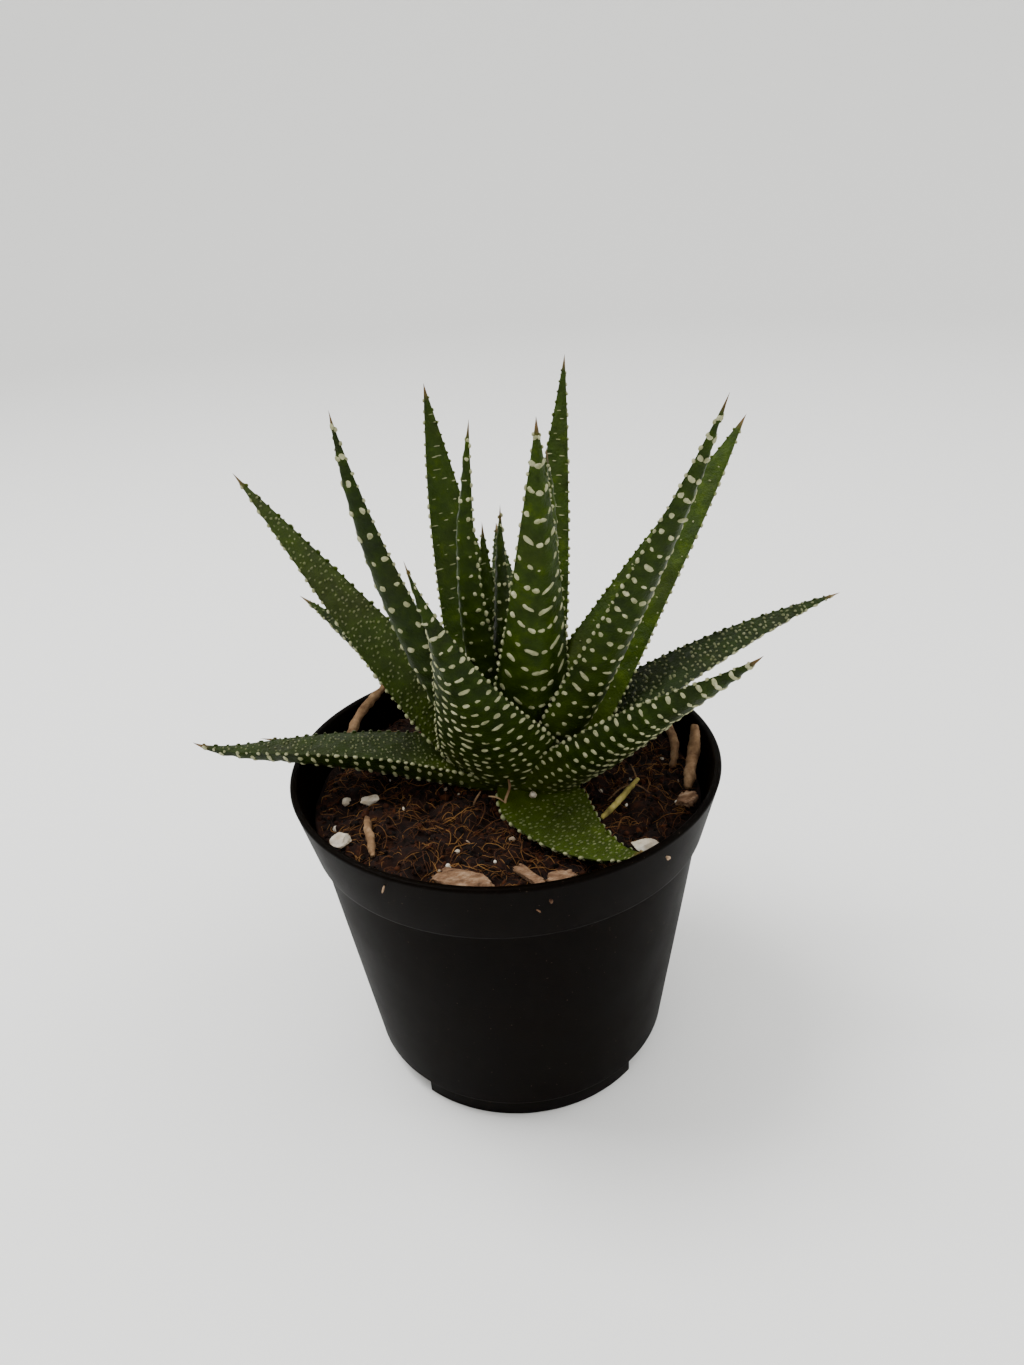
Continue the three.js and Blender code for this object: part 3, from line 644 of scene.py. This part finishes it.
# ---------------------------------------------------------------- potting mix


SOIL_LEVEL = 73.6
SOIL_LUMP = 0.9
# The mix is hollowed under the lowest front leaf: where, how wide and how deep.
HOLLOW = dict(x=14, y=-25, spread=11, depth=2.3)


def soil_height(x, y):
    """Height of the mix, in mm: gently lumpy, and lower along the wall of the pot."""
    broad = np.sin(x * 0.31 + 1.2) * np.cos(y * 0.27 - 0.4)
    lump = broad + 0.6 * np.sin(x * 0.63 - y * 0.52)
    edge = np.clip((np.hypot(x, y) - 38) / 10, 0, 1)
    away = (x - HOLLOW["x"]) ** 2 + (y - HOLLOW["y"]) ** 2
    hollow = HOLLOW["depth"] * np.exp(-away / (2 * HOLLOW["spread"] ** 2))
    return SOIL_LEVEL + SOIL_LUMP * lump * (1 - 0.5 * edge) - 1.2 * edge - hollow


def soil_piece():
    """The root ball: a skirt that follows the inside of the pot, and a crumbly top."""
    segments = 220
    shares = np.linspace(1, 0.02, 64)
    turn = np.arange(segments) * 2 * math.pi / segments
    radius = 47.6 * shares
    x = (radius[:, None] * np.cos(turn)).ravel()
    y = (radius[:, None] * np.sin(turn)).ravel()
    flat = np.stack([x, y, 0 * x], -1)
    edge = np.repeat(np.clip((1 - shares) * 8, 0, 1), segments)
    crumble = 0.5 * ripple(flat, 7, 5) + 0.35 * ripple(flat, 2.6, 6) + 0.2 * ripple(flat, 1.1, 8)
    z = soil_height(x, y) + crumble * edge
    top = np.stack([x, y, z], -1)
    skirt = []
    for r, h in ((36.2, 7.2), (40, 33), (45.2, 66.6), (46.6, 68.6)):
        skirt.append(np.stack([r * np.cos(turn), r * np.sin(turn), 0 * turn + h], -1))
    points = np.concatenate(skirt + [top, [[0, 0, 7.2]], [[0, 0, float(z[-1])]]])
    rows = len(skirt) + len(shares)
    faces = [grid_faces(rows, segments, True), closed_ends(rows, segments)]
    marks = {"place": np.zeros((len(points), 3))}
    return piece("root_ball_coir", points, faces, PITH, "root_ball", marks=marks)


soil_piece()


def ico(level):
    """Vertices and triangles of a unit icosphere."""
    ball = bmesh.new()
    bmesh.ops.create_icosphere(ball, subdivisions=level, radius=1)
    points = np.array([v.co[:] for v in ball.verts])
    tris = np.array([[v.index for v in f.verts] for f in ball.faces])
    ball.free()
    return points, tris


def lumps(name, centres, sizes, skin, level, seed, jag=0.3):
    """Many small broken crumbs as one piece."""
    source = np.random.default_rng(seed)
    unit, tris = ico(level)
    points, faces, marks = [], [], []
    for i, (centre, size) in enumerate(zip(centres, sizes)):
        shape = unit * (1 + jag * ripple(unit, 1.9, seed + i, 5))[:, None]
        turn = np.linalg.qr(source.normal(size=(3, 3)))[0]
        turn *= np.sign(np.linalg.det(turn))
        points.append(centre + (shape * np.array(size)) @ turn)
        faces.append(tris + i * len(unit))
        marks.append(np.tile([0, source.uniform(-0.25, 0.25), 0], (len(unit), 1)))
    return piece(name, np.concatenate(points), [np.concatenate(faces)], skin, None, True,
                 {"place": np.concatenate(marks)})


def on_soil(count, source, most=46.5):
    """Places spread evenly over the mix, out to the radius most."""
    radius = np.sqrt(source.uniform(0, most ** 2, count))
    turn = source.uniform(0, 2 * math.pi, count)
    x, y = radius * np.cos(turn), radius * np.sin(turn)
    return np.stack([x, y, soil_height(x, y)], -1)


def tubes(name, paths, radii, skin, sides=5, replaced=None, shades=None, knobs=0.0, seed=0):
    """Round strands along smooth paths, tapering to closed ends, as one piece."""
    points, quads, tris, marks = [], [], [], []
    offset = 0
    for number, (path, radius) in enumerate(zip(paths, radii)):
        path = np.asarray(path, float)
        along = normalised(np.gradient(path, axis=0))
        helper = np.array([0.31, 0.22, 0.93])
        side = normalised(np.cross(along, helper))
        other = np.cross(along, side)
        turn = np.arange(sides) * 2 * math.pi / sides
        t = np.linspace(0, 1, len(path))
        girth = np.asarray(radius) * (1 - 0.45 * np.abs(2 * t - 1) ** 4)
        ring = side[:, None] * np.cos(turn)[None, :, None]
        ring = ring + other[:, None] * np.sin(turn)[None, :, None]
        skin_points = path[:, None] + ring * girth[:, None, None]
        if knobs:
            flat = skin_points.reshape(-1, 3)
            bump = ripple(flat, 3.0 * np.max(radius) / 1.3, seed + number)
            bump = bump + 0.5 * ripple(flat, 1.1, seed + 5 + number)
            skin_points = skin_points + ring * (bump.reshape(len(path), sides) * knobs)[..., None]
        skin_points = skin_points.reshape(-1, 3)
        ends = np.stack([path[0], path[-1]])
        points += [skin_points, ends]
        quads.append(grid_faces(len(path), sides, True) + offset)
        tris.append(closed_ends(len(path), sides) + offset)
        offset += len(skin_points) + 2
        shade = 0.0 if shades is None else shades[number]
        marks.append(np.tile([0, shade, 0], (len(skin_points) + 2, 1)))
    faces = [np.concatenate(quads), np.concatenate(tris)]
    layers = {"place": np.concatenate(marks)}
    return piece(name, np.concatenate(points), faces, skin, replaced, True, layers)


def smooth_path(points, count):
    """A Catmull-Rom curve through a few points."""
    p = np.asarray(points, float)
    p = np.concatenate([[2 * p[0] - p[1]], p, [2 * p[-1] - p[-2]]])
    made = []
    for t in np.linspace(0, len(p) - 3 - 1e-6, count):
        i, u = int(t), t - int(t)
        a, b, c, d = p[i:i + 4]
        square = (2 * a - 5 * b + 4 * c - d) * u ** 2
        cube = (3 * b - a - 3 * c + d) * u ** 3
        made.append(0.5 * (2 * b + (c - a) * u + square + cube))
    return np.array(made)


# Radius of the inside of the pot where the mix meets it, less a fibre.
WALL_INSIDE = 46.3


def fibres(name, count, lengths, girths, hump_most, steps, seed):
    """Coir fibres: stiff curled hairs matted over the mix."""
    source = np.random.default_rng(seed)
    paths, radii, shades = [], [], []
    for start in on_soil(count, source, 45.5):
        length = source.uniform(*lengths)
        heading = source.uniform(0, 2 * math.pi)
        curl = source.normal(0, 0.16)
        place = start[:2].copy()
        hump = source.uniform(0.1, hump_most)
        path = []
        for i in range(steps):
            t = i / (steps - 1)
            heading += curl + source.normal(0, 0.14)
            place = place + length / steps * np.array([math.cos(heading), math.sin(heading)])
            out = np.hypot(*place)
            if out > WALL_INSIDE:
                place *= WALL_INSIDE / out
            z = soil_height(*place) + 0.25 + hump * math.sin(math.pi * t) + source.normal(0, 0.08)
            path.append([*place, z])
        paths.append(path)
        radii.append(source.uniform(*girths))
        shades.append(source.uniform(-0.25, 0.3))
    return tubes(name, paths, radii, FIBRE, shades=shades)


CRUMBS = 2300
source = np.random.default_rng(17)
spots = on_soil(CRUMBS, source)
sizes = source.uniform(0.22, 0.75, (CRUMBS, 3)) * source.uniform(0.6, 1.4, (CRUMBS, 1))
lumps("coir_crumbs", spots + [0, 0, 0.25], sizes, PITH, level=2, seed=400, jag=0.34)
fibres("coir_hairs", count=2000, lengths=(2, 7), girths=(0.035, 0.08), hump_most=1.1, steps=8, seed=31)
fibres("coir_fibres", count=190, lengths=(5, 15), girths=(0.07, 0.13), hump_most=2.0, steps=14, seed=32)

# Thick dry roots: radius, and the points that each passes through, in mm.
ROOTS = {
    "root_back_left": (1.3, [(-31, 36, 86), (-37.5, 29, 82), (-40.5, 23.5, 78.5), (-41, 18, 74)]),
    "root_front_left": (1.0, [(-33.8, -12.2, 75.5), (-33, -17, 75.3), (-32, -22, 75), (-31.4, -26, 74)]),
    "root_right_1": (1.5, [(48, 6, 84), (47, 2, 80), (46, -1, 77), (44, -6.5, 73.6)]),
    "root_right_2": (1.1, [(41.5, 18, 80.5), (43, 13, 78.8), (43.4, 8, 76.8), (42, 3, 73.8)]),
}
for number, (name, (radius, points)) in enumerate(ROOTS.items()):
    tubes(name + "_bark", [smooth_path(points, 60)], [radius], ROOT, sides=18,
          replaced=name, knobs=0.14 * radius, seed=60 + number)
TWIG = [(21.5, -18.6, 75.2), (26, -13, 75.6), (31.8, -6.3, 77.3)]
tubes("twig_stalk", [smooth_path(TWIG, 50)], [0.75], TWIG_SKIN, sides=14,
      replaced="twig", knobs=0.08, seed=80)

# Perlite grains: middle, size and turn.
GRAINS = {
    "perlite_left": ((-38.8, -20.3, 74.9), (5.6, 4.6, 4.4), 20),
    "perlite_left_back": ((-33.8, -4.6, 75.0), (6, 3, 2.8), 8),
    "perlite_left_small": ((-39.6, -3.6, 74.6), (2.6, 2.2, 2.4), 50),
    "perlite_right": ((30, -29.6, 74.8), (7, 4.2, 3.4), -4),
    "perlite_crown": ((6, -9.5, 76.8), (2.8, 2.2, 2.2), 75),
}


def turned_about_z(degrees):
    """A matrix that turns rows of points about the upright axis."""
    c, s = math.cos(math.radians(degrees)), math.sin(math.radians(degrees))
    return np.array([[c, s, 0], [-s, c, 0], [0, 0, 1]])


def grain_piece(name, at, size, turn, seed):
    """One popped grain: cut by random planes into a blunt crumb, then pitted."""
    source = np.random.default_rng(seed)
    unit, tris = ico(5)
    shape = unit.copy()
    for _ in range(11):
        way = normalised(source.normal(size=3))
        over = shape @ way - source.uniform(0.55, 0.85)
        shape -= np.clip(over, 0, None)[:, None] * way
    pits = np.abs(ripple(unit, 0.22, seed + 1))
    shape *= (1 + 0.05 * ripple(unit, 0.7, seed) - 0.05 * pits)[:, None]
    points = (shape * np.array(size) / 2) @ turned_about_z(turn) + at
    layers = {"place": np.zeros((len(points), 3))}
    piece(name + "_popped", points, [tris], PERLITE, name, True, layers)


for number, (name, (at, size, turn)) in enumerate(GRAINS.items()):
    grain_piece(name, np.array(at), size, turn, 200 + number)

# Tiny broken grains of perlite scattered over the mix.
PERLITE_BITS = 60
source = np.random.default_rng(77)
bits = on_soil(PERLITE_BITS, source, 45)
bit_sizes = source.uniform(0.2, 0.75, (PERLITE_BITS, 3))
# Crumbs and a splinter of mix stuck to the outside of the collar, thrown there by watering.
stuck = np.array([[-27.0, -44.6, 79.6], [7.3, -51.7, 79.4], [4.7, -51.9, 77.2], [33.0, -40.4, 79.4]])
stuck_sizes = np.array([[0.2, 0.2, 0.9], [0.45, 0.4, 0.35], [0.6, 0.2, 0.2], [0.55, 0.5, 0.4]])
lumps("crumbs_on_collar", stuck, stuck_sizes, BARK, level=3, seed=77, jag=0.25)
# Fine roots that hang from the lowest leaf bases down to the mix.
HAIRS = [[(-1, -11.5, 73.4), (-0.6, -10.5, 76.5), (0.6, -9.5, 79.5), (0.2, -8.5, 82)],
         [(-0.8, -10.6, 76), (-2.6, -10.8, 77.6), (-4.6, -10.6, 78)],
         [(-8.5, -10, 73.6), (-8, -9.6, 76), (-6.4, -9, 78.4)],
         [(30, -6, 73.6), (31.5, -5, 76.5), (30.5, -3, 79.5)],
         [(24, -9, 73.4), (27.5, -7.5, 75.6), (31, -8.5, 77), (34, -10, 75.5)]]
hair_paths = [smooth_path(hair, 24) for hair in HAIRS]
tubes("root_hairs", hair_paths, [0.34, 0.2, 0.26, 0.24, 0.2], ROOT, sides=8)
lumps("perlite_bits", bits + [0, 0, 0.5], bit_sizes, PERLITE, level=2, seed=700, jag=0.2)

# Bark chips: underside, length, width, thickness, turn and tip.
CHIPS = {
    "bark_front_left": ((-11, -37.6, 73.9), 12, 4.5, 1.8, -22, 14),
    "bark_front": ((3.6, -37.2, 73.9), 9, 2.4, 1.3, -52, 8),
    "bark_front_right": ((10.2, -38.2, 73.8), 5.5, 2.8, 1.4, 20, 16),
    "bark_right": ((42.6, -12.5, 73.7), 5, 4, 2, 60, -6),
}


def chip_piece(name, at, long, wide, thick, turn, tip, seed):
    """A torn flake: a slab with a ragged outline, split along its grain."""
    rows, columns = 70, 40
    t = np.linspace(0, math.pi, rows)[1:-1]
    turn_round = np.arange(columns) * 2 * math.pi / columns
    unit = np.stack([np.cos(t)[:, None] * np.ones(columns), np.sin(t)[:, None] * np.cos(turn_round),
                     np.sin(t)[:, None] * np.sin(turn_round)], -1).reshape(-1, 3)
    unit = np.concatenate([unit, [[1, 0, 0], [-1, 0, 0]]])
    boxy = np.sign(unit) * np.abs(unit) ** 0.55
    boxy /= np.abs(boxy).max()
    ragged = 1 + 0.16 * ripple(unit * [1, 1, 0.3], 0.9, seed)
    ragged = ragged + 0.07 * ripple(unit * [1, 3, 1], 0.5, seed + 1)
    shape = boxy * ragged[:, None] * np.array([long, wide, thick]) / 2
    shape[:, 2] += 0.12 * thick * ripple(shape * [0.3, 2.4, 0], 2.2, seed + 2)
    count = rows - 2
    faces = [grid_faces(count, columns, True), closed_ends(count, columns)]
    c, s = math.cos(math.radians(tip)), math.sin(math.radians(tip))
    shape = shape @ np.array([[1, 0, 0], [0, c, s], [0, -s, c]]) @ turned_about_z(turn)
    points = shape + at + [0, 0, thick / 2]
    layers = {"place": np.zeros((len(shape), 3))}
    piece(name + "_torn", points, faces, BARK, name, True, layers)


for number, (name, (at, long, wide, thick, turn, tip)) in enumerate(CHIPS.items()):
    chip_piece(name, np.array(at), long, wide, thick, turn, tip, 300 + number)

# Stem: dry leaf bases and corky tissue, brown and matte; only its node's finish is set.
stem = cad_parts["stem"]
stem.data.materials.clear()
stem.data.materials.append(ROOT)

# ---------------------------------------------------------------- floor, light and camera


def studio_bowl():
    """A plain pale floor that curves up all round into a low wall, open to the sky above."""
    flat, curve, wall, segments, steps = 1.3, 0.5, 1.6, 96, 12
    sweep = [(0.02, 0.0), (0.6, 0.0), (flat, 0.0)]
    for i in range(1, steps + 1):
        angle = i / steps * math.pi / 2
        sweep.append((flat + curve * math.sin(angle), curve - curve * math.cos(angle)))
    sweep.append((flat + curve, wall))
    turn = np.arange(segments) * 2 * math.pi / segments
    rings = [(r * math.cos(t), r * math.sin(t), h) for r, h in sweep for t in turn]
    faces = [row[::-1] for row in grid_faces(len(sweep), segments, True).tolist()]
    mesh = bpy.data.meshes.new("studio_bowl")
    mesh.from_pydata(rings, [], faces + [list(range(segments))])
    mesh.polygons.foreach_set("use_smooth", [True] * len(mesh.polygons))
    bowl = bpy.data.objects.new("studio_bowl", mesh)
    bpy.context.scene.collection.objects.link(bowl)
    paint, _, _ = material("pale_matt_paint", Base_Color="#f3f3f1", Roughness=0.9, Specular_IOR_Level=0.1)
    mesh.materials.append(paint)


studio_bowl()


def lamp(name, place, aim, size, power):
    """A square soft box at place, turned towards aim."""
    data = bpy.data.lights.new(name, "AREA")
    data.size, data.energy = size, power
    made = bpy.data.objects.new(name, data)
    bpy.context.scene.collection.objects.link(made)
    x, y, z = np.array(aim) - np.array(place)
    made.location = place
    made.rotation_euler = (math.atan2(math.hypot(x, y), -z), 0, math.atan2(y, x) - math.pi / 2)


lamp("key", (-0.42, 0.1, 1.0), (0, 0, 0.1), 0.45, 10.5)
lamp("fill", (0.8, 0.0, 0.85), (0, 0, 0.1), 0.7, 4.5)

world = bpy.data.worlds.new("studio")
bpy.context.scene.world = world
world.use_nodes = True
sky = world.node_tree.nodes["Background"]
sky.inputs["Color"].default_value = linear("#ffffff")
sky.inputs["Strength"].default_value = 1.3

# Camera: where it stands and what it looks at, in metres, and its roll in degrees.
CAMERA_AT = (0.0, -0.2109, 0.2124)
CAMERA_AIM = (0.00275, 0.0, 0.1025)
CAMERA_ROLL = -3.41
camera_data = bpy.data.cameras.new("camera")
camera_data.lens = 26.56
camera_data.sensor_width = 36
camera_data.clip_start = 0.01
camera = bpy.data.objects.new("camera", camera_data)
bpy.context.scene.collection.objects.link(camera)
sight = np.array(CAMERA_AIM) - np.array(CAMERA_AT)
look = Vector(sight).to_track_quat("-Z", "Y").to_matrix().to_4x4()
roll = Matrix.Rotation(math.radians(CAMERA_ROLL), 4, "Z")
camera.matrix_world = Matrix.Translation(CAMERA_AT) @ look @ roll
bpy.context.scene.camera = camera
